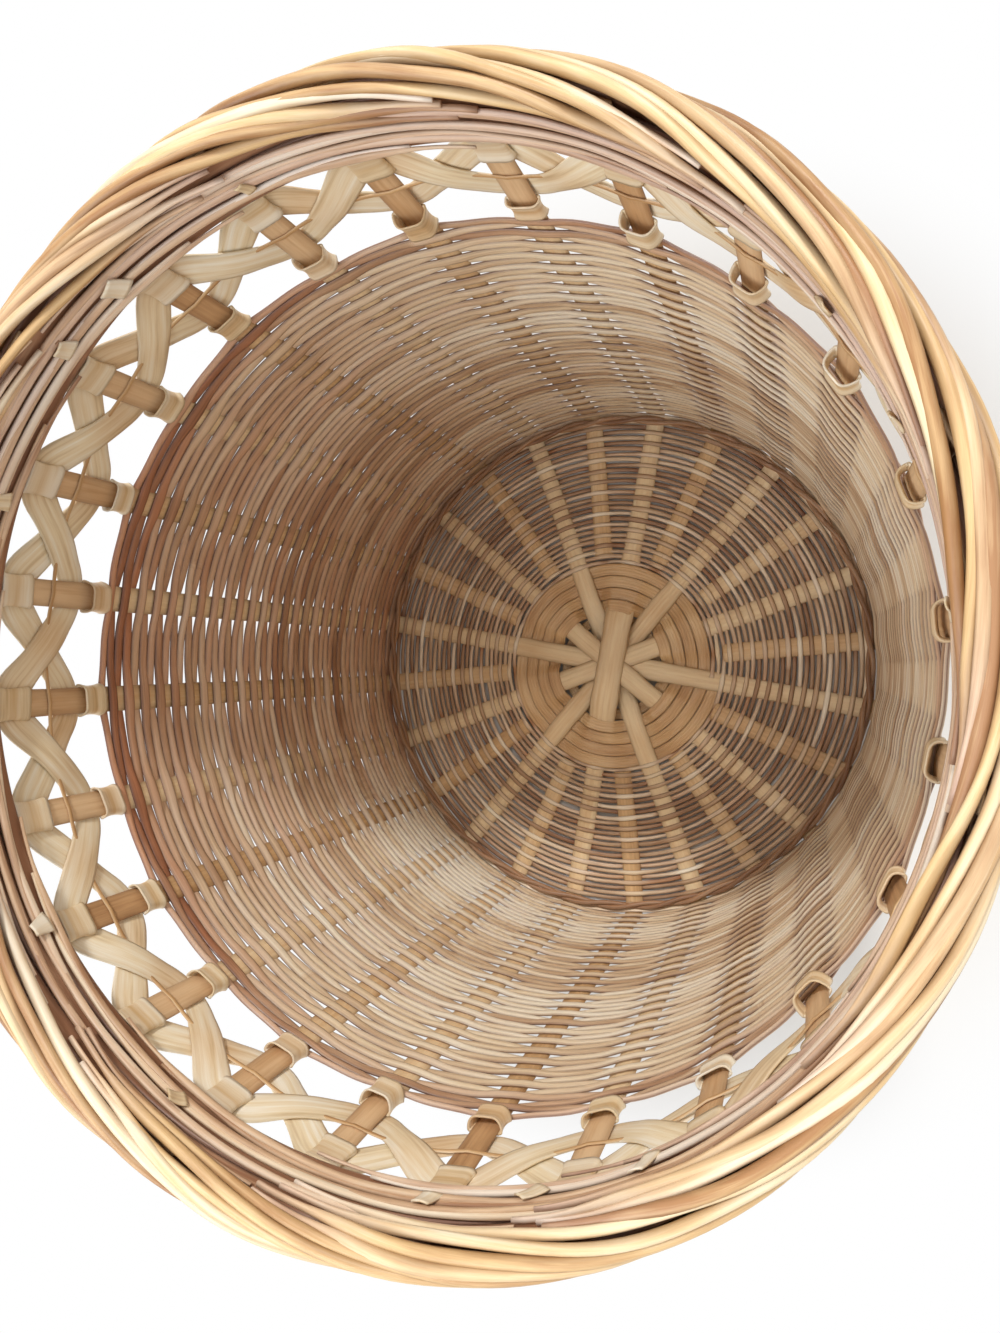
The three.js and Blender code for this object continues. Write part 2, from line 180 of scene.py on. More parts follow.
def ripple(distance, rng, wavelength, amount):
    """A smooth seeded wander along a strand."""
    total = np.zeros(len(distance))
    for share in WAVE_SHARES:
        phase = rng.uniform(0, 2 * math.pi)
        total = total + np.sin(2 * math.pi * distance / (wavelength * share) + phase)
    return amount * total / 2


# Sections: points (across, up) of a strand in half widths and half thicknesses, counter-clockwise

GROOVE_STEPS = 6
BOWED_POINTS = 13

# A grooved strip's edges: how fast they fall, and what is left there of its face and its back
EDGE_STEEPNESS = 14
FACE_AT_EDGE = 0.3
BACK_AT_EDGE = 0.35


def round_section(points):
    turn = np.arange(points) * 2 * math.pi / points
    return np.stack([np.cos(turn), np.sin(turn)], axis=1)


def strip_section(points, squareness):
    """A flat strip with rounded edges."""
    return rounded(round_section(points), 2 / squareness)


def crowned_section(grooves, depth, crown):
    """A flat strip with a crowned face, an even number of lengthwise grooves and a flat back."""
    across = np.linspace(-1, 1, grooves * GROOVE_STEPS + 1)
    ridge = np.abs(np.sin(across * grooves * math.pi / 2))
    edge = np.sqrt(np.clip((1 - np.abs(across)) * EDGE_STEEPNESS, 0, 1))
    face = 1 - crown * across**2 - depth * (1 - ridge) ** 2
    face = face * (FACE_AT_EDGE + (1 - FACE_AT_EDGE) * edge)
    back = -(BACK_AT_EDGE + (1 - BACK_AT_EDGE) * edge)
    top = np.stack([across, face], axis=1)[::-1]
    bottom = np.stack([across, back], axis=1)
    return np.concatenate([bottom, top])


def bowed_section(bow):
    """A thin strip bowed across its width, so that its face bulges."""
    across = np.linspace(-1, 1, BOWED_POINTS)
    bulge = bow * (1 - across**2)
    top = np.stack([across, bulge + 1], axis=1)[::-1]
    bottom = np.stack([across, bulge - 1], axis=1)
    return np.concatenate([bottom, top])


# Strands and pieces


def unit(vectors):
    return vectors / np.linalg.norm(vectors, axis=1, keepdims=True)


def back_share(section):
    """How far each point of a section faces backwards, from 0 to 1."""
    step = unit(np.roll(section, -1, axis=0) - np.roll(section, 1, axis=0))
    return np.clip(step[:, 0], 0, 1)


def spread(values, count):
    """One value for each of a number of points, from as many values or from a single one."""
    return np.broadcast_to(np.asarray(values, float), (count,))


def strand_faces(count, sides, closed):
    """Faces between the rings of points along a strand, and the caps of one that isn't a closed ring."""
    ring = np.arange(count if closed else count - 1)[:, None]
    side = np.arange(sides)[None, :]
    after = (ring + 1) % count
    beside = (side + 1) % sides
    corners = [ring * sides + side, ring * sides + beside, after * sides + beside, after * sides + side]
    quads = np.stack(np.broadcast_arrays(*corners), axis=2).reshape(-1, 4)
    if closed:
        return quads, []
    return quads, [list(range(sides))[::-1], list(range((count - 1) * sides, count * sides))]


def sweep(path, facing, width, thickness, section, tone, age_and_shade, closed=False):
    """A strand along a path or round a closed ring, its face turned to the facing directions. Tone sets
    it apart from its neighbours, and a value from 0 to 1 turns it from fresh to brown, both for the
    strand's age and for painted shade."""
    count, sides = len(path), len(section)
    if closed:
        tangent = unit(np.roll(path, -1, axis=0) - np.roll(path, 1, axis=0))
    else:
        tangent = unit(np.gradient(path, axis=0))
    facing = unit(facing - np.sum(facing * tangent, axis=1, keepdims=True) * tangent)
    across = np.cross(facing, tangent)
    sideways = section[None, :, 0] * spread(width, count)[:, None] / 2
    upwards = section[None, :, 1] * spread(thickness, count)[:, None] / 2
    points = path[:, None, :] + sideways[:, :, None] * across[:, None, :]
    points = points + upwards[:, :, None] * facing[:, None, :]
    step = np.linalg.norm(np.diff(path, axis=0), axis=1)
    along = np.concatenate([[0], np.cumsum(step)])
    quads, caps = strand_faces(count, sides, closed)
    return {
        "points": points.reshape(-1, 3),
        "quads": quads,
        "caps": caps,
        "along": np.repeat(along, sides),
        "across": sideways.reshape(-1),
        "edge": np.tile(np.abs(section[:, 0]), count),
        "back": np.tile(back_share(section), count),
        "tone": np.repeat(spread(tone, count), sides),
        "age_and_shade": np.repeat(spread(age_and_shade, count), sides),
    }


def piece(name, strands, nodes, material):
    """One named piece from its strands, standing for CAD nodes."""
    points, faces, first = [], [], 0
    for strand in strands:
        points.append(strand["points"])
        faces.extend((strand["quads"] + first).tolist())
        faces.extend([[corner + first for corner in cap] for cap in strand["caps"]])
        first += len(strand["points"])
    mesh = bpy.data.meshes.new(name)
    mesh.from_pydata((np.concatenate(points) * MM).tolist(), [], faces)
    for key in ("along", "across", "edge", "back", "tone", "age_and_shade"):
        values = np.concatenate([strand[key] for strand in strands]).astype(np.float32)
        mesh.attributes.new(key, "FLOAT", "POINT").data.foreach_set("value", values)
    mesh.polygons.foreach_set("use_smooth", [True] * len(mesh.polygons))
    mesh.materials.append(material)
    mesh.update()
    made = bpy.data.objects.new(name, mesh)
    bpy.context.scene.collection.objects.link(made)
    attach(made, "root")
    if nodes:
        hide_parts(*nodes)


# Materials


def srgb(*channels):
    """A colour given as it looks on a screen, 0 to 255, as the linear colour that shaders take."""
    linear = [((channel / 255 + 0.055) / 1.055) ** 2.4 for channel in channels]
    return (*linear, 1.0)


class Nodes:
    """Short ways to add shader nodes to one material."""

    def __init__(self, name):
        self.material = bpy.data.materials.new(name)
        self.material.use_nodes = True
        self.tree = self.material.node_tree
        self.shader = self.tree.nodes["Principled BSDF"]

    def link(self, source, target):
        self.tree.links.new(source, target)

    def attribute(self, name):
        node = self.tree.nodes.new("ShaderNodeAttribute")
        node.attribute_name = name
        return node.outputs["Fac"]

    def math(self, operation, first, second):
        node = self.tree.nodes.new("ShaderNodeMath")
        node.operation = operation
        for socket, value in zip(node.inputs, (first, second)):
            if isinstance(value, (int, float)):
                socket.default_value = value
            else:
                self.link(value, socket)
        return node.outputs[0]

    def vector(self, x, y, z):
        node = self.tree.nodes.new("ShaderNodeCombineXYZ")
        for socket, value in zip(node.inputs, (x, y, z)):
            self.link(value, socket)
        return node.outputs[0]

    def grain(self, strand, lengthwise, crosswise, detail):
        """Noise stretched along a strand, which is given by its along, across and seed values."""
        along, across, seed = strand
        along = self.math("MULTIPLY", along, lengthwise)
        across = self.math("MULTIPLY", across, crosswise)
        node = self.tree.nodes.new("ShaderNodeTexNoise")
        node.inputs["Scale"].default_value = 1.0
        node.inputs["Detail"].default_value = detail
        node.inputs["Roughness"].default_value = 0.55
        self.link(self.vector(along, across, seed), node.inputs["Vector"])
        return node.outputs["Fac"]

    def ramp(self, factor, stops):
        node = self.tree.nodes.new("ShaderNodeValToRGB")
        elements = node.color_ramp.elements
        while len(elements) < len(stops):
            elements.new(0.5)
        for element, (place, colour) in zip(elements, stops):
            element.position = place
            element.color = colour
        self.link(factor, node.inputs["Fac"])
        return node.outputs["Color"]

    def mix(self, kind, factor, first, second):
        node = self.tree.nodes.new("ShaderNodeMix")
        node.data_type = "RGBA"
        node.blend_type = kind
        sockets = (node.inputs[0], node.inputs[6], node.inputs[7])
        for socket, value in zip(sockets, (factor, first, second)):
            if isinstance(value, (int, float, tuple)):
                socket.default_value = value
            else:
                self.link(value, socket)
        return node.outputs[2]


# Strands darken towards this tint at their edges: painted shade in the creases between strands
EDGE_SHADE_TINT = srgb(120, 88, 60)
EDGE_POWER = 3.0
SKIN_TINT = srgb(230, 212, 188)

# What each pattern adds to a strand's shade, and where the three colours lie on the scale of shades
BLOTCH_WEIGHT = 0.5
TONE_WEIGHT = 0.7
FINE_WEIGHT = 0.16
SHADE_OFFSET = 0.18
SHADES = (0.18, 0.5, 0.82)
TONE_SEED = 57.0

# Fibres in the finish: how far they vary the roughness, and their relief
ROUGHNESS_RANGE = 0.3
ROUGHNESS_OFFSET = 0.12
RELIEF_STRENGTH = 0.35
RELIEF_DEPTH = 0.3 * MM
FINE_RELIEF = 0.5


def bamboo(name, fresh, aged_and_shaded, roughness, edge_shade, sheen=0.5, streaks=0.42, grain=1.5):
    """Split bamboo: lengthwise fibres, blotches, a tone for each strand, a browner state for age and for
    painted shade, edges darkened as painted shade in the creases between strands, and a golden skin on
    the back. The fresh colours and the browner ones are each a dark, a middle and a light colour."""
    n = Nodes(name)
    tone = n.attribute("tone")
    strand = (n.attribute("along"), n.attribute("across"), n.math("MULTIPLY", tone, TONE_SEED))
    fibres = n.grain(strand, lengthwise=0.03, crosswise=grain, detail=5.0)
    fine = n.grain(strand, lengthwise=0.12, crosswise=5.0, detail=3.0)
    blotch = n.grain(strand, lengthwise=0.035, crosswise=0.12, detail=2.0)
    shade = n.math("MULTIPLY", fibres, streaks)
    shade = n.math("ADD", shade, n.math("MULTIPLY", blotch, BLOTCH_WEIGHT))
    shade = n.math("ADD", shade, n.math("MULTIPLY", tone, TONE_WEIGHT))
    shade = n.math("ADD", shade, n.math("MULTIPLY", fine, FINE_WEIGHT))
    shade = n.math("SUBTRACT", shade, SHADE_OFFSET + streaks / 2)
    young = n.ramp(shade, list(zip(SHADES, fresh)))
    browned = n.ramp(shade, list(zip(SHADES, aged_and_shaded)))
    # The browner colours carry both the strands' age and painted shade on shaded sides and under other
    # strands
    colour = n.mix("MIX", n.attribute("age_and_shade"), young, browned)
    # Painted shade: each strand darkens towards its edges, standing in for the shade in the creases
    # between strands
    at_edge = n.math("MULTIPLY", n.math("POWER", n.attribute("edge"), EDGE_POWER), edge_shade)
    colour = n.mix("MULTIPLY", at_edge, colour, EDGE_SHADE_TINT)
    n.link(n.mix("MULTIPLY", n.attribute("back"), colour, SKIN_TINT), n.shader.inputs["Base Color"])
    n.shader.inputs["Specular IOR Level"].default_value = sheen
    varied = n.math("MULTIPLY", fibres, ROUGHNESS_RANGE)
    n.link(n.math("ADD", varied, roughness - ROUGHNESS_OFFSET), n.shader.inputs["Roughness"])
    relief = n.tree.nodes.new("ShaderNodeBump")
    relief.inputs["Strength"].default_value = RELIEF_STRENGTH
    relief.inputs["Distance"].default_value = RELIEF_DEPTH
    n.link(n.math("ADD", fibres, n.math("MULTIPLY", fine, FINE_RELIEF)), relief.inputs["Height"])
    n.link(relief.outputs["Normal"], n.shader.inputs["Normal"])
    return n.material


BROWN = (srgb(112, 66, 40), srgb(160, 104, 64), srgb(198, 146, 100))
TAN = (srgb(172, 128, 82), srgb(224, 186, 136), srgb(246, 222, 180))
STRAW = (srgb(190, 153, 117), srgb(240, 219, 185), srgb(254, 246, 226))
RUSSET = (srgb(130, 80, 54), srgb(188, 127, 92), srgb(216, 166, 132))
ROSE = (srgb(176, 138, 119), srgb(235, 206, 188), srgb(249, 236, 225))
CREAM = (srgb(198, 168, 124), srgb(238, 219, 182), srgb(251, 244, 226))
AMBER = (srgb(166, 112, 64), srgb(210, 164, 110), srgb(234, 200, 150))
GOLD = (srgb(174, 126, 80), srgb(230, 194, 140), srgb(250, 234, 198))

STAKE_LOOK = bamboo("stake_bamboo", TAN, BROWN, roughness=0.42, edge_shade=0.45, grain=0.9)
HUB_LOOK = bamboo("hub_bamboo", TAN, BROWN, roughness=0.4, edge_shade=0.2, grain=0.9)
BASE_LOOK = bamboo("base_bamboo", STRAW, BROWN, roughness=0.5, edge_shade=0.45)
WALL_LOOK = bamboo("wall_bamboo", STRAW, RUSSET, roughness=0.38, edge_shade=1.0, sheen=0.75)
RIBBON_LOOK = bamboo("ribbon_bamboo", CREAM, AMBER, roughness=0.45, edge_shade=0.2, streaks=1.0, grain=0.6)
ROD_LOOK = bamboo("rod_bamboo", GOLD, ROSE, roughness=0.4, edge_shade=0.45, streaks=0.7, grain=0.6)

# Splints and stakes

STAKE_SECTION = crowned_section(grooves=4, depth=0.2, crown=0.75)

# How finely a splint is drawn: its steps on the base and wall, and their number round the corner
BASE_STEP = 2.0
WALL_STEP = 4.0
CORNER_STEPS = 8

# Splints are thick and broad out to the first radius and plain from the second
THICK_RADII = (30, 60)
THICKENING = 2.4
BROAD_RADII = (26, 58)
BROADENING = 1.1
TOP_SPLINT_BROADENING = 1.5

# Age along a splint, by its distance out plus its height: fresh at the hub, brown in the open lattice
AGE_PLACES = (40, 90, 130, 338, 352, 400)
AGES = (0.0, 0.05, 0.1, 0.15, 0.45, 0.45)

# How far beyond the hub a side stake begins
SIDE_STAKE_GAP = 0.4


def smooth(values, reach):
    """Softens the corners of a line of values, keeping its ends."""
    padded = np.concatenate([np.full(reach, values[0]), values, np.full(reach, values[-1])])
    kernel = np.ones(2 * reach + 1) / (2 * reach + 1)
    return np.convolve(padded, kernel, mode="valid")


def splint_line(start, lift):
    """Side view of a splint from a radius on the base, round the corner and up to its tip."""
    out = np.arange(start, CORNER_CENTRE, BASE_STEP)
    up = smooth(base_height(out), 2) + lift(out)
    turn = np.linspace(0, CORNER_TURN, CORNER_STEPS + 1)
    wall = np.arange(CORNER_TOP + 0.75 * WALL_STEP, STAKE_TOP, WALL_STEP)
    wall = np.append(wall, STAKE_TOP)
    out = np.concatenate([out, CORNER_CENTRE + CORNER_RADIUS * np.sin(turn), wall_radius(wall)])
    up = np.concatenate([up, BASE_HEIGHT + CORNER_RADIUS * (1 - np.cos(turn)), wall])
    return out, up


def splint_thickness(radius):
    """Splints are whole at the hub and split thin further out."""
    return STAKE_THICKNESS * np.interp(np.abs(radius), THICK_RADII, [THICKENING, 1.0])


def splint_strand(angle, out, up, tone, rng, broad=1.0):
    """A splint at one angle, with the side view that out and up give."""
    path = around(angle, out, up)
    slope_out, slope_up = np.gradient(out), np.gradient(up)
    length = np.hypot(slope_out, slope_up)
    facing = around(angle, -slope_up / length, slope_out / length)
    along = np.arange(len(out)) * (BASE_STEP + WALL_STEP) / 2
    width = STAKE_WIDTH * (1 + ripple(along, rng, wavelength=90, amount=0.03))
    width = width * np.interp(np.abs(out), BROAD_RADII, [broad, 1.0])
    age_and_shade = np.interp(np.abs(out) + up, AGE_PLACES, AGES)
    return sweep(path, facing, width, splint_thickness(out), STAKE_SECTION, tone, age_and_shade)


def base_splint(splint):
    rng = np.random.default_rng(100 + splint)
    out, up = splint_line(0.0, lambda radius: splint_lift(splint, radius))
    out = np.concatenate([-out[:0:-1], out])
    up = np.concatenate([up[:0:-1], up])
    broad = TOP_SPLINT_BROADENING if splint == SPLINT_ORDER[-1] else BROADENING
    strand = splint_strand(2 * splint * STAKE_STEP, out, up, rng.uniform(0.75, 0.92), rng, broad)
    piece(f"splint_{splint + 1}", [strand], [f"base_splint_{splint + 1}"], STAKE_LOOK)


def side_stake(spoke):
    rng = np.random.default_rng(200 + spoke)
    out, up = splint_line(HUB_OUTER_RADIUS + SIDE_STAKE_GAP, lambda radius: 0 * radius)
    strand = splint_strand((2 * spoke + 1) * STAKE_STEP, out, up, rng.uniform(0.3, 0.7), rng)
    piece(f"stake_{spoke + 1}", [strand], [f"side_stake_{spoke + 1}"], STAKE_LOOK)


# Weavers

# Points on a turn of the hub's coil, and between two stakes on the weavers
HUB_STEPS = 288
BASE_WEAVER_STEPS = 10
WALL_WEAVER_STEPS = 12

# The hub's coil: how long it stays level across a splint, as a length and as least and greatest shares
HUB_LEVEL = 1.2 * STAKE_WIDTH + 0.5
HUB_LEVEL_SHARES = (0.3, 0.75)
HUB_CLEARANCE = 0.2
HUB_DEPTH = (SPLINT_COUNT - 1) / 2 * SPLINT_LAYER + HUB_STRAND_THICKNESS
HUB_START_WIDTH = 0.75
HUB_MIDDLE_RADIUS = 40
HUB_AGE = 0.2
HUB_SECTION = crowned_section(grooves=4, depth=0.6, crown=0.25)

# The base's weavers: their start, as an angle, their width as a share of the pitch, and their age, with
# painted shade that browns them where they dip under the splints
BASE_WEAVER_START = 0.03
BASE_CLEARANCE = 0.1
BASE_MIDDLE_RADIUS = 90
BASE_COVER = 0.74
BASE_COVER_AT_STAKE = 0.12
BASE_AGE = 0.52
BASE_UNDER_SPLINT_SHADE = 0.3

# Places where the base's rows have slipped apart: middle and half length as angles, radius, opening
SLIPS = ((3.75, 0.85, 71.0, 1.2), (4.55, 0.45, 76.0, 0.9), (5.6, 0.5, 97.0, 0.7))
SLIP_EDGE = 0.8
SLIP_FADE = 7

# A weaver changes its tone at each splice
SPLICES_PER_LAP = 0.83

# How much closer the wall's rows lie at the corner and in the top lap
CORNER_CLOSENESS = 0.36
TOP_CLOSENESS = 0.45
ROW_SAMPLES = 1200

# Sides of the wall, as angles round the axis. On the left, as the camera sees it, the weave is tight
# with a loose place in its upper rows and is painted brown as shade, and on the near side it is painted
# pale round a low row as a pool of light
BROWN_SIDE = math.radians(180)
TIGHT_SIDE = math.radians(165)
LOOSE_SIDE = math.radians(182)
LOOSE_SPREAD = math.radians(15)
LOOSE_FIRST_ROW = 8
LOOSE_ROWS = 30
PALE_SIDE = math.radians(238)
PALE_SPREAD = math.radians(20)
PALE_ROW = 11
PALE_ROWS = 9

# Age of the wall, and what its sides and top rows add to age and tone: painted shade on the left side, a
# painted pool of light on the near side, and browner strands in the top rows
WALL_AGE = 0.02
BROWN_SIDE_SHADE = 0.6
TOP_ROWS_AGE = 0.5
PALE_SIDE_AGE = -0.4
PALE_SIDE_TONE = 0.6

# How far a wall weaver swings, as a share of its own thickness and of the stakes', and how much wider it
# gets at the stakes: in the plain weave, and what a tight and a loose place add
SWING_OF_STRAND = 0.43
SWING_OF_STAKE = (0.38, -0.28, 0.42)
WIDENING = (0.08, 0.36, -0.36)

# What is cut off each end of a length of wall weaver
SPLICE_TRIM = 0.5

# The heavy strand in the corner
CORNER_RODS = 2
CORNER_ROD_WIDTH = 2.4
CORNER_ROD_THICKNESS = 2.2
CORNER_TWISTS = 20
CORNER_TWIST_RADIUS = 1.1
CORNER_POINTS = 480


def plait(angle, spokes, level=0.12, ease=2.8):
    """Runs from 1 on even spokes to -1 on odd ones: level across each, and nearly level half way."""
    saw = 1 - 2 * np.abs((angle * spokes / (2 * math.pi)) % 2 - 1)
    share = np.clip(-saw / (1 - level), -1, 1)
    return np.sign(share) * np.sin(np.abs(share) ** ease * math.pi / 2)


def hub_coil():
    """The broad strip coiled round the crossing splints: its first turn lies under them all, and the
    next ones go under the even spokes and over the odd ones."""
    rng = np.random.default_rng(300)
    points = (HUB_ROUNDS + 1) * HUB_STEPS + 1
    angle = np.linspace(-2 * math.pi, HUB_ROUNDS * 2 * math.pi, points)
    turn = angle / (2 * math.pi)
    radius = HUB_INNER_RADIUS + HUB_PITCH * (turn + 0.5)
    level = np.clip(HUB_LEVEL / (radius * 2 * STAKE_STEP), *HUB_LEVEL_SHARES)
    clear = splint_thickness(radius) / 2 + HUB_STRAND_THICKNESS / 2 + HUB_CLEARANCE
    swing = -plait(angle, 2 * SPLINT_COUNT, level, ease=1.0) * clear
    spoke = np.round(angle / (2 * STAKE_STEP)).astype(int)
    piled = np.array([splint_lift(s % SPLINT_COUNT, r) for s, r in zip(spoke, radius)])
    deep = np.clip(-angle / (2 * STAKE_STEP), 0, 1)
    lift = (smooth(piled, 4) + swing) * (1 - deep) - deep * HUB_DEPTH
    path = around(angle, radius, base_height(radius) + lift)
    up = np.tile([0.0, 0.0, 1.0], (len(path), 1))
    width = HUB_STRAND_WIDTH * np.interp(turn, [-1, 0], [HUB_START_WIDTH, 1.0])
    age_and_shade = HUB_AGE + ripple(angle * HUB_MIDDLE_RADIUS, rng, wavelength=90, amount=0.12)
    tone = rng.uniform(0.4, 0.6)
    strand = sweep(path, up, width, HUB_STRAND_THICKNESS, HUB_SECTION, tone, np.clip(age_and_shade, 0, 1))
    piece("hub_coil_strip", [strand], ["hub_coil"], HUB_LOOK)


def base_weaver(turn, letter):
    """One of the two fine weavers of the base, which start where the hub's coil ends."""
    rng = np.random.default_rng(400 + turn)
    laps = BASE_ROWS // 2
    end = turn * STAKE_STEP + laps * 2 * math.pi
    angle = np.linspace(BASE_WEAVER_START, end, laps * STAKE_COUNT * BASE_WEAVER_STEPS + 1)
    along = angle * BASE_MIDDLE_RADIUS
    reach = BASE_START + BASE_PITCH * (angle / math.pi + turn)
    reach = reach + ripple(along, rng, wavelength=130, amount=0.16) + slipped(angle, reach)
    side = plait(angle, STAKE_COUNT) * (1 if turn == 0 else -1)
    swing = (STAKE_THICKNESS + BASE_STRAND_THICKNESS + BASE_CLEARANCE) / 2
    path, facing = on_shell(angle, reach, side * swing)
    width = BASE_PITCH * (BASE_COVER + BASE_COVER_AT_STAKE * np.abs(side))
    width = width * (1 + ripple(along, rng, wavelength=300, amount=0.1))
    tone = lap_tones(angle, rng)
    # Painted shade: the weavers turn browner where they dip under the splints and paler where they lie
    # over them
    age_and_shade = BASE_AGE - BASE_UNDER_SPLINT_SHADE * side + ripple(along, rng, wavelength=260, amount=0.2)
    section = round_section(8)
    strand = sweep(path, facing, width, BASE_STRAND_THICKNESS, section, tone, np.clip(age_and_shade, 0, 1))
    piece(f"base_strand_{letter}", [strand], [f"base_weaver_{letter}"], BASE_LOOK)


def slipped(angle, reach):
    """How far the rows are pushed apart where they have slipped."""
    total = np.zeros(len(angle))
    for middle, half, radius, opening in SLIPS:
        off = angle_from(middle, angle)
        share = np.cos(np.clip(off / half, -1, 1) * math.pi / 2)
        beyond = reach - radius
        side = np.tanh(beyond / SLIP_EDGE) * np.exp(-np.abs(beyond) / SLIP_FADE)
        total = total + opening * share * side
    return total


def lap_tones(angle, rng):
    """A tone for each splice of a weaver, a little over a lap long."""
    splice = (angle / (2 * math.pi) * SPLICES_PER_LAP).astype(int)
    tones = rng.uniform(0.15, 0.85, splice.max() + 1)
    return tones[splice]


def wall_rows():
    """Where the wall's rows lie and how far apart: fine at the corner, closer again in the top lap."""
    row = np.linspace(0, WALL_ROWS + 1, ROW_SAMPLES)
    at_top = np.clip((row - WALL_ROWS + 2) / 3, 0, 1)
    spacing = 1 - CORNER_CLOSENESS * np.exp(-row / 2) - TOP_CLOSENESS * at_top
    reach = np.concatenate([[0], np.cumsum((spacing[1:] + spacing[:-1]) / 2)])
    scale = (WALL_END - WALL_START) / reach[-1]
    return row, WALL_START + reach * scale, spacing * scale / (row[1] - row[0])


def wall_age_and_shade(angle):
    """The wall is browner on its left, as seen by the camera, than on the near side: painted shade on
    top of its small age.
    """
    return WALL_AGE + BROWN_SIDE_SHADE * np.clip(np.cos(angle - BROWN_SIDE), 0, 1) ** 1.5


def wall_lit_patch(angle, row):
    """A painted pool of sunlight low on the near wall, where the rows are paler."""
    off = angle_from(PALE_SIDE, angle)
    return np.exp(-((off / PALE_SPREAD) ** 2) - ((row - PALE_ROW) / PALE_ROWS) ** 2)


def wall_looseness(angle, row):
    """The weave gapes beside the stakes in the upper rows on the left."""
    off = angle_from(LOOSE_SIDE, angle)
    upper = np.clip((row - LOOSE_FIRST_ROW) / LOOSE_ROWS, 0, 1)
    return np.exp(-((off / LOOSE_SPREAD) ** 2)) * upper


def wall_tightness(angle):
    """The rows are packed closest on the left, and elsewhere slits show beside the stakes."""
    return np.clip(0.15 + 0.85 * np.cos(angle - TIGHT_SIDE), 0, 1)


def in_weave(amounts, tight, loose):
    """A size in the plain weave, with what tight and loose places add to it."""
    plain, at_tight, at_loose = amounts
    return plain + at_tight * tight + at_loose * loose


def wall_shade(angle, row, rng):
    """Tone and age along a weaver of the wall, with painted shade on its left and a painted pool of
    light low on its near side; it is browner in the top rows.
    """
    lit_patch = wall_lit_patch(angle, row)
    # Painted light: the rows turn paler in a patch low on the near wall
    tone = lap_tones(angle, rng) + PALE_SIDE_TONE * lit_patch
    age_and_shade = wall_age_and_shade(angle) + ripple(angle * BASE_RADIUS, rng, wavelength=400, amount=0.16)
    at_top = np.clip((row - WALL_ROWS + 4) / 2, 0, 1)
    age_and_shade = age_and_shade + TOP_ROWS_AGE * at_top + PALE_SIDE_AGE * lit_patch
    return tone, np.clip(age_and_shade, 0, 1)


def wall_weaver(turn, letter, length):
    """One length of the two fine weavers of the wall, which carry on from those of the base."""
    rng = np.random.default_rng(500 + 10 * length + turn)
    stakes = WALL_ROWS * STAKE_COUNT // 2 // WALL_LENGTHS
    stake = turn + length * stakes + np.arange(stakes * WALL_WEAVER_STEPS + 1) / WALL_WEAVER_STEPS
    trim = SPLICE_TRIM / (BASE_RADIUS * STAKE_STEP)
    stake[0] += trim
    stake[-1] -= trim
    angle = stake * STAKE_STEP
    along = angle * BASE_RADIUS
    row = turn + 2 * stake / STAKE_COUNT
    rows, reaches, spacings = wall_rows()
    spacing = np.interp(row, rows, spacings)
    reach = np.interp(row, rows, reaches) + ripple(along, rng, wavelength=210, amount=0.16)
    thickness = np.interp(row, [0, 3], [BASE_STRAND_THICKNESS, WALL_STRAND_THICKNESS])
    loose, tight = wall_looseness(angle, row), wall_tightness(angle)
    swing = SWING_OF_STRAND * thickness + STAKE_THICKNESS * in_weave(SWING_OF_STAKE, tight, loose)
    side = plait(angle, STAKE_COUNT) * (-1 if turn == 0 else 1)
    path, facing = on_shell(angle, reach, side * swing)
    width = spacing * (1.0 + in_weave(WIDENING, tight, loose) * np.abs(side))
    width = width * (1 + ripple(along, rng, wavelength=330, amount=0.04))
    tone, age_and_shade = wall_shade(angle, row, rng)
    strand = sweep(path, facing, width, thickness, round_section(10), tone, age_and_shade)
    piece(f"wall_strand_{letter}{length + 1}", [strand], [f"wall_weaver_{letter}{length + 1}"],
          WALL_LOOK)


def corner_strand():
    """The heavy strand in the corner: two rods twisted together."""
    radius = CORNER_REACH - CORNER_ROD_WIDTH
    height = (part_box("corner_hoop")[0][2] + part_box("corner_hoop")[1][2]) / 2 / MM
    angle = np.arange(CORNER_POINTS) * 2 * math.pi / CORNER_POINTS
    section = round_section(8)
    strands = []
    for rod in range(CORNER_RODS):
        twist = angle * CORNER_TWISTS + rod * math.pi
        out = radius + CORNER_TWIST_RADIUS * np.cos(twist)
        path = around(angle, out, height + CORNER_TWIST_RADIUS * np.sin(twist))
        tone = 0.3 + 0.2 * rod
        strands.append(sweep(path, away(angle), CORNER_ROD_WIDTH, CORNER_ROD_THICKNESS, section,
                             tone, age_and_shade=0.7, closed=True))
    piece("corner_strand", strands, ["corner_hoop"], BASE_LOOK)


# Lattice

RIBBON_HIGH = LATTICE_TOP - 8.0
RIBBON_LOW = WALL_TOP + 13.0
TOP_BAND_HEIGHT = LATTICE_TOP - 6.5
LOW_BAND_HEIGHT = WALL_TOP + 5.0
RIBBON_SECTION = bowed_section(1.2)
BAND_SECTION = bowed_section(2.2)
LATTICE_RADIUS = 140

# The zigzag: points between two stakes, the share of its way that is level at each stake, how far it
# runs behind the stakes, and its width
RIBBON_STEPS = 24
RIBBON_LEVEL = 0.12
RIBBON_BEHIND = 2.0
RIBBON_WIDTH = 9.6
RIBBON_WIDENING = 3.8

# The turns round the stakes: points, room beside and behind a stake, how square they are, and least
# and greatest sizes
BAND_POINTS = 40
BAND_MARGIN = 0.9
BAND_DEPTH = 1.05
BAND_SIDE_POWER = 0.45
BAND_FACE_POWER = 0.6
BULGE_POWER = 1.2
TOP_BAND_TALL = (11.5, 13.5)
TOP_BAND_BULGE = 0.5
LOW_BAND_TALL = (8.0, 10.0)
LOW_BAND_BULGE = (1.2, 4.5)

# The thread: points between two stakes, thickness, and how far it swings out between the stakes
THREAD_STEPS = 16
THREAD_THICKNESS = 0.8
THREAD_HEIGHT = (WALL_TOP + LATTICE_TOP) / 2 + 1.0
THREAD_OFFSET = -1.2
THREAD_SWING = 1.35


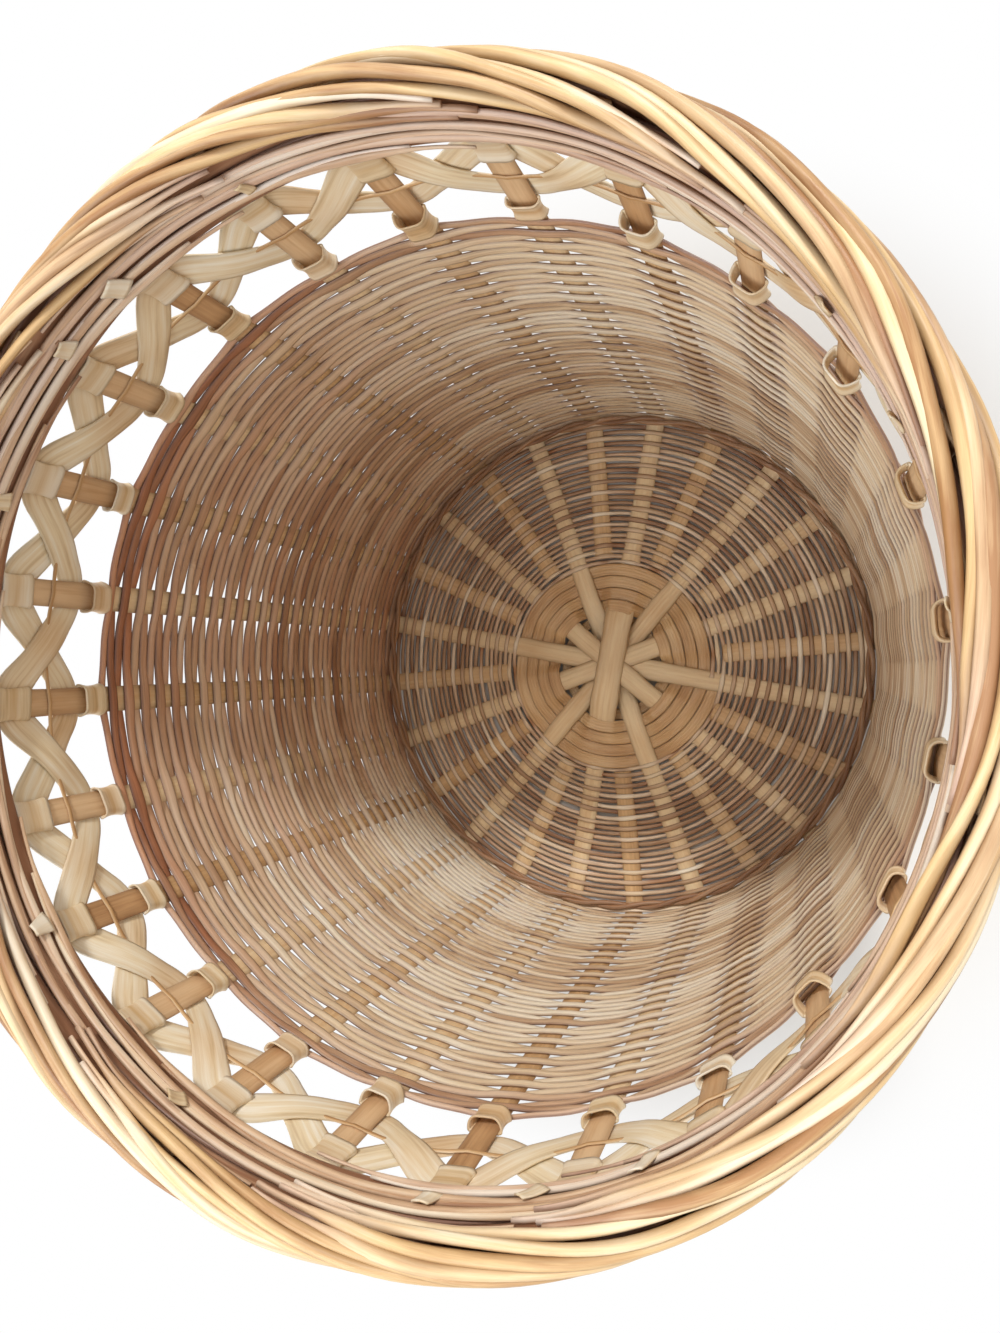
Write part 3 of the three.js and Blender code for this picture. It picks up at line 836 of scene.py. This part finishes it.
def zigzag(first, apart, rng):
    """A ribbon that runs behind the stakes, high behind one and low behind the next."""
    stake = np.arange(STAKE_COUNT * RIBBON_STEPS) / RIBBON_STEPS
    share = 1 - np.abs((stake - first + 1) % 2 - 1)
    level = np.clip((share - RIBBON_LEVEL) / (1 - 2 * RIBBON_LEVEL), 0, 1)
    height = RIBBON_LOW + (RIBBON_HIGH - RIBBON_LOW) * smooth_loop(level, 2)
    at_stake = np.cos(stake * 2 * math.pi) * 0.5 + 0.5
    offset = RIBBON_BEHIND * at_stake + apart * (1 - at_stake)
    angle = stake * STAKE_STEP
    along = angle * LATTICE_RADIUS
    path = around(angle, wall_radius(height) + offset, height)
    facing = -around(angle, 1.0, -FLARE)
    width = RIBBON_WIDTH + RIBBON_WIDENING * share**2
    width = width + ripple(along, rng, wavelength=70, amount=0.6)
    age_and_shade = np.clip(0.1 + ripple(along, rng, wavelength=110, amount=0.3), 0, 0.8)
    return sweep(path, facing, width, RIBBON_THICKNESS, RIBBON_SECTION, tone=0.6, age_and_shade=age_and_shade, closed=True)


def smooth_loop(values, reach):
    """Softens the corners of values that run round in a loop."""
    kernel = np.ones(2 * reach + 1) / (2 * reach + 1)
    padded = np.concatenate([values[-reach:], values, values[:reach]])
    return np.convolve(padded, kernel, mode="valid")


def stake_band(stake, height, tall, bulge, rng):
    """A turn of ribbon round one stake, standing off it by the bulge at the front."""
    turn = np.arange(BAND_POINTS) * 2 * math.pi / BAND_POINTS
    across = (STAKE_WIDTH / 2 + BAND_MARGIN) * rounded(np.cos(turn), BAND_SIDE_POWER)
    depth = BAND_DEPTH * rounded(np.sin(turn), BAND_FACE_POWER)
    depth = depth - np.where(depth < 0, bulge * np.abs(np.sin(turn)) ** BULGE_POWER, 0)
    level = height + across * rng.uniform(-0.12, 0.12)
    angle = stake * STAKE_STEP + across / wall_radius(height)
    path = around(angle, wall_radius(level) + depth, level)
    sideways = np.roll(path, -1, axis=0) - np.roll(path, 1, axis=0)
    facing = np.cross(sideways, np.array([0.0, 0.0, 1.0]))
    tone = rng.uniform(0.5, 0.95)
    age_and_shade = rng.uniform(0.0, 0.1) if bulge < 1 else rng.uniform(0.0, 0.5)
    return sweep(path, facing, tall, RIBBON_THICKNESS, BAND_SECTION, tone, age_and_shade, closed=True)


def ribbon(first, apart, name, node):
    """One of the two ribbons: its zigzag and its turns round the stakes."""
    rng = np.random.default_rng(700 + first)
    strands = [zigzag(first, apart, rng)]
    for stake in range(STAKE_COUNT):
        if (stake - first) % 2 == 0:
            tall = rng.uniform(*TOP_BAND_TALL)
            strands.append(stake_band(stake, TOP_BAND_HEIGHT, tall, TOP_BAND_BULGE, rng))
        else:
            tall = rng.uniform(*LOW_BAND_TALL)
            bulge = rng.uniform(*LOW_BAND_BULGE)
            strands.append(stake_band(stake, LOW_BAND_HEIGHT, tall, bulge, rng))
    piece(name, strands, [node], RIBBON_LOOK)


def lattice_thread():
    """The thin strand across the middle of each stake, held between the ribbons where they cross."""
    angle = np.arange(STAKE_COUNT * THREAD_STEPS) * STAKE_STEP / THREAD_STEPS
    offset = THREAD_OFFSET + THREAD_SWING * np.abs(np.sin(angle * STAKE_COUNT / 2))
    path = around(angle, wall_radius(THREAD_HEIGHT) + offset, THREAD_HEIGHT)
    strand = sweep(path, away(angle), THREAD_WIDTH, THREAD_THICKNESS, round_section(8),
                   tone=0.35, age_and_shade=0.5, closed=True)
    piece("lattice_lock_strand", [strand], ["lattice_thread"], RIBBON_LOOK)


# Rim

# The inside of the rim up to this height has thin bands, and the rods start among them
INNER_BANDS_RISE = 18.5
ROD_START = INNER_BANDS_RISE - 3.0
ROD_END_GAP = 1.5
BAND_START = 1.4
BAND_SINK = 0.7

# A strand over the rim: its points, about its length, how near it comes to the rim's lower edges, and
# how fast and how far its ends taper
ROD_POINTS = 72
ROD_LENGTH = 260
ROD_MARGIN = 0.8
TAPER_SPEED = 9
TAPER_END = 0.5

# The hoops: splints in each, their thickness and gap, and how far they lie from the stakes' middle
HOOP_LAYERS = 3
HOOP_LAYER_THICKNESS = 2.0
HOOP_LAYER_GAP = 0.3
HOOP_STAND_OFF = 2.2
HOOP_WANDER = 0.15
HOOP_WAVES = (3, 5, 8)
HOOP_POINTS = 288

# The loose ends of ribbon
TONGUE_COUNT = 13
TONGUE_POINTS = 8
TONGUE_THICKNESS = 0.5
TONGUE_STAND_OFF = 0.4


def over_rim(along):
    """The way over the rim: up the inside, round over the top and down the outside."""
    turn = np.clip((along - RIM_RISE) / RIM_FOLD, 0, math.pi)
    rise = np.minimum(np.minimum(along, RIM_RISE), RIM_WAY - along)
    on_leg = (along < RIM_RISE) | (along > RIM_WAY - RIM_RISE)
    outward, upward = -np.cos(turn), np.sin(turn)
    up = np.where(on_leg, RIM_BOTTOM + rise, STAKE_TOP)
    return outward, upward, up


def rim_strand(start, span, first, last, lift, width, thickness, section, tone, age_and_shade, rng, wander):
    """A strand laid slantwise over the rim between two places on the way over it."""
    share = np.linspace(0, 1, ROD_POINTS)
    angle = start + share * span
    distance = share * ROD_LENGTH
    along = first + (last - first) * share + ripple(distance, rng, wavelength=240, amount=wander)
    outward, upward, up = over_rim(np.clip(along, ROD_MARGIN, RIM_WAY - ROD_MARGIN))
    lift = lift + ripple(distance, rng, wavelength=200, amount=wander * 0.7)
    path = around(angle, wall_radius(up) + lift * outward, up + lift * upward)
    facing = around(angle, outward, upward)
    taper = np.clip(np.minimum(share, 1 - share) * TAPER_SPEED, TAPER_END, 1)
    return sweep(path, facing, width * taper, thickness * taper, section, tone, age_and_shade(share))


def rim_rod(bundle, rod, rng):
    """A golden rod: from among the inner bands over the top and down the outside, browned at its foot as
    painted shade.
    """
    pitch = (RIM_WAY - ROD_START) / (RODS_PER_BUNDLE * (BUNDLES_ABREAST + 1) - 1)
    return rim_strand(
        start=bundle * 2 * math.pi / RIM_BUNDLES + rng.uniform(-0.06, 0.04),
        span=BUNDLE_SPAN + rng.uniform(-0.02, 0.1),
        first=ROD_START + pitch * rod,
        last=RIM_WAY - pitch * (RODS_PER_BUNDLE - 1 - rod) - ROD_END_GAP,
        lift=RIM_FOLD + rng.uniform(-0.6, 0.6),
        width=ROD_WIDTH * rng.uniform(0.76, 1.1),
        thickness=ROD_THICKNESS * rng.uniform(0.88, 1.12),
        section=strip_section(10, 2.3),
        tone=rng.uniform(0.1, 0.8),
        # Painted shade: each rod is browner at its foot inside the rim, and some rods, at random, are
        # browner along more of their way
        age_and_shade=lambda share: np.clip(0.6 - share * 4, 0, 1) + 0.35 * rng.uniform() ** 2 * (1 - share),
        rng=rng,
        wander=0.55,
    )


def rim_band(bundle, band, rng):
    """A thin brown band inside the rim, below the rods, browner and rosier on the far side as painted
    shade, and more golden on the near one.
    """
    pitch = INNER_BANDS_RISE / (BANDS_PER_BUNDLE * (BUNDLES_ABREAST + 1))
    start = (bundle + 0.5 * band / BANDS_PER_BUNDLE) * 2 * math.pi / RIM_BUNDLES
    # Painted shade: the bands on the far side of the rim are made browner
    far_shade = 0.5 + 0.5 * math.sin(start + BUNDLE_SPAN / 2)
    return rim_strand(
        start=start,
        span=BUNDLE_SPAN + rng.uniform(-0.05, 0.1),
        first=BAND_START + pitch * band,
        last=INNER_BANDS_RISE + pitch * band,
        lift=RIM_FOLD - BAND_SINK + rng.uniform(-0.2, 0.3),
        width=BAND_WIDTH * rng.uniform(0.85, 1.1),
        thickness=BAND_THICKNESS,
        section=strip_section(10, 3.0),
        tone=rng.uniform(0.2, 0.9),
        age_and_shade=lambda share: np.full(len(share), rng.uniform(0.6, 1.0) * (0.55 + 0.45 * far_shade)),
        rng=rng,
        wander=0.3,
    )


def rim_bundle(bundle):
    rng = np.random.default_rng(800 + bundle)
    strands = [rim_rod(bundle, rod, rng) for rod in range(RODS_PER_BUNDLE)]
    strands += [rim_band(bundle, band, rng) for band in range(BANDS_PER_BUNDLE)]
    piece(f"rim_rods_{bundle + 1}", strands, [f"rim_bundle_{bundle + 1}"], ROD_LOOK)


def hoop_path(radius, height, rng):
    """A closed ring with a slight wander, and its outward directions."""
    angle = np.arange(HOOP_POINTS) * 2 * math.pi / HOOP_POINTS
    waves = sum(np.sin(k * angle + rng.uniform(0, 6.28)) for k in HOOP_WAVES) / len(HOOP_WAVES)
    return around(angle, radius + HOOP_WANDER * waves, height), away(angle)


def rim_hoop(side, name, node):
    """The flat hoop of three splints that holds the stakes' tips on one side."""
    rng = np.random.default_rng(901 + side)
    section = strip_section(12, 3.5)
    tall = RIM_RISE / HOOP_LAYERS
    strands = []
    for layer in range(HOOP_LAYERS):
        height = RIM_BOTTOM + tall * (layer + 0.5)
        path, facing = hoop_path(wall_radius(height) + side * HOOP_STAND_OFF, height, rng)
        tone = rng.uniform(0.0, 0.2)
        strands.append(sweep(path, facing, tall - HOOP_LAYER_GAP, HOOP_LAYER_THICKNESS, section,
                             tone, age_and_shade=0.9, closed=True))
    piece(name, strands, [node], ROD_LOOK)


def rim_tongues():
    """Short cream ends of the ribbons that poke out between the inner bands and the rods."""
    rng = np.random.default_rng(950)
    share = np.linspace(0, 1, TONGUE_POINTS)
    strands = []
    for stake in rng.permutation(STAKE_COUNT)[:TONGUE_COUNT]:
        tall = rng.uniform(4, 9)
        wide = rng.uniform(2.5, 7)
        middle = (stake + rng.uniform(-0.3, 0.3)) * STAKE_STEP
        height = RIM_BOTTOM + rng.uniform(6.5, 9.5) + share * tall
        angle = middle + share * rng.uniform(-0.04, 0.04)
        depth = -(RIM_FOLD + TONGUE_STAND_OFF) - share**2 * rng.uniform(0.5, 2.0)
        path = around(angle, wall_radius(height) + depth, height)
        width = wide * (1 - rng.uniform(0.1, 0.5) * share)
        tone = rng.uniform(0.4, 0.9)
        strands.append(sweep(path, -away(angle), width, TONGUE_THICKNESS, RIBBON_SECTION,
                             tone, age_and_shade=0.15))
    piece("rim_ribbon_ends", strands, [], RIBBON_LOOK)


# Assembly

for splint in range(SPLINT_COUNT):
    base_splint(splint)
for spoke in range(STAKE_COUNT - 2 * SPLINT_COUNT):
    side_stake(spoke)
hub_coil()
for turn, letter in enumerate("ab"):
    base_weaver(turn, letter)
    for length in range(WALL_LENGTHS):
        wall_weaver(turn, letter, length)
corner_strand()
ribbon(first=1, apart=-0.6, name="ribbon_inner", node="lattice_ribbon_inner")
ribbon(first=0, apart=0.9, name="ribbon_outer", node="lattice_ribbon_outer")
lattice_thread()
rim_hoop(side=-1, name="rim_band_inner", node="rim_hoop_inner")
rim_hoop(side=1, name="rim_band_outer", node="rim_hoop_outer")
for bundle in range(RIM_BUNDLES):
    rim_bundle(bundle)
rim_tongues()

# Stage, in metres

FLOOR_HALF = 3.0
WHITE = (1.0, 1.0, 1.0, 1.0)
FLOOR_COLOUR = (0.62, 0.6, 0.57, 1.0)
FLOOR_ROUGHNESS = 0.9

# Distances from the axis between which the floor turns to plain white
FADE_START = 0.16
FADE_END = 0.27

# Lamps: strength, colour, spread in degrees and the direction in which they shine
SKY_STRENGTH = 0.74
KEY_STRENGTH = 2.0
KEY_COLOUR = (1.0, 1.0, 1.0)
KEY_SPREAD = 8
KEY_DIRECTION = (0.07, -0.62, -0.78)
FILL_STRENGTH = 1.7
FILL_COLOUR = (0.92, 0.96, 1.0)
FILL_SPREAD = 50
FILL_DIRECTION = (0.35, 0.62, -0.7)


def floor_look():
    """A pale floor that takes the basket's shadow near it, and looks plain white further out."""
    n = Nodes("floor_look")
    n.shader.inputs["Base Color"].default_value = FLOOR_COLOUR
    n.shader.inputs["Roughness"].default_value = FLOOR_ROUGHNESS
    nodes = n.tree.nodes
    place = nodes.new("ShaderNodeNewGeometry").outputs["Position"]
    distance = nodes.new("ShaderNodeVectorMath")
    distance.operation = "LENGTH"
    n.link(place, distance.inputs[0])
    fade = nodes.new("ShaderNodeMapRange")
    fade.interpolation_type = "SMOOTHSTEP"
    fade.inputs["From Min"].default_value = FADE_START
    fade.inputs["From Max"].default_value = FADE_END
    n.link(distance.outputs["Value"], fade.inputs["Value"])
    light = nodes.new("ShaderNodeEmission")
    light.inputs["Color"].default_value = WHITE
    blend = nodes.new("ShaderNodeMixShader")
    n.link(n.math("MULTIPLY", fade.outputs["Result"], seen_directly(n.tree)), blend.inputs["Fac"])
    n.link(n.shader.outputs["BSDF"], blend.inputs[1])
    n.link(light.outputs["Emission"], blend.inputs[2])
    n.link(blend.outputs["Shader"], nodes["Material Output"].inputs["Surface"])
    return n.material


def seen_directly(tree):
    """1 for rays from the camera, and for those that a gloss or a clear surface sends on."""
    path = tree.nodes.new("ShaderNodeLightPath")
    total = path.outputs["Is Camera Ray"]
    for kind in ("Is Glossy Ray", "Is Transmission Ray"):
        either = tree.nodes.new("ShaderNodeMath")
        either.operation = "MAXIMUM"
        tree.links.new(total, either.inputs[0])
        tree.links.new(path.outputs[kind], either.inputs[1])
        total = either.outputs[0]
    return total


def stage():
    mesh = bpy.data.meshes.new("floor")
    signs = ((-1, -1), (1, -1), (1, 1), (-1, 1))
    mesh.from_pydata([(x * FLOOR_HALF, y * FLOOR_HALF, 0) for x, y in signs], [], [(0, 1, 2, 3)])
    mesh.materials.append(floor_look())
    floor = bpy.data.objects.new("floor", mesh)
    bpy.context.scene.collection.objects.link(floor)


def lights():
    """An even white sky, a key light from the far side and a broad fill from the near side."""
    world = bpy.data.worlds.new("studio")
    world.use_nodes = True
    bpy.context.scene.world = world
    tree = world.node_tree
    sky = tree.nodes["Background"]
    sky.inputs["Color"].default_value = WHITE
    sky.inputs["Strength"].default_value = SKY_STRENGTH
    backdrop = tree.nodes.new("ShaderNodeBackground")
    backdrop.inputs["Color"].default_value = WHITE
    blend = tree.nodes.new("ShaderNodeMixShader")
    tree.links.new(seen_directly(tree), blend.inputs["Fac"])
    tree.links.new(sky.outputs["Background"], blend.inputs[1])
    tree.links.new(backdrop.outputs["Background"], blend.inputs[2])
    tree.links.new(blend.outputs["Shader"], tree.nodes["World Output"].inputs["Surface"])
    sun_lamp("key", KEY_STRENGTH, KEY_COLOUR, KEY_SPREAD, KEY_DIRECTION)
    sun_lamp("fill", FILL_STRENGTH, FILL_COLOUR, FILL_SPREAD, FILL_DIRECTION)


def sun_lamp(name, strength, colour, spread, direction):
    lamp = bpy.data.lights.new(name, "SUN")
    lamp.energy = strength
    lamp.color = colour
    lamp.angle = math.radians(spread)
    made = bpy.data.objects.new(name, lamp)
    made.rotation_euler = Vector(direction).to_track_quat("-Z", "Y").to_euler()
    bpy.context.scene.collection.objects.link(made)


CAMERA_PLACE = Vector((113.1, 22.37, 494.32)) * MM
CAMERA_RIGHT = Vector((0.927415, 0.162657, -0.336814))
CAMERA_UP = Vector((-0.175529, 0.984443, -0.007905))
CAMERA_LENS = 27.007


def camera():
    data = bpy.data.cameras.new("camera")
    data.lens = CAMERA_LENS
    data.clip_start = 0.01
    eye = bpy.data.objects.new("camera", data)
    back = CAMERA_RIGHT.cross(CAMERA_UP)
    turn = Matrix((CAMERA_RIGHT, CAMERA_UP, back)).transposed().to_4x4()
    eye.matrix_world = Matrix.Translation(CAMERA_PLACE) @ turn
    bpy.context.scene.collection.objects.link(eye)
    bpy.context.scene.camera = eye


stage()
lights()
camera()
bpy.context.scene.view_settings.view_transform = "Standard"
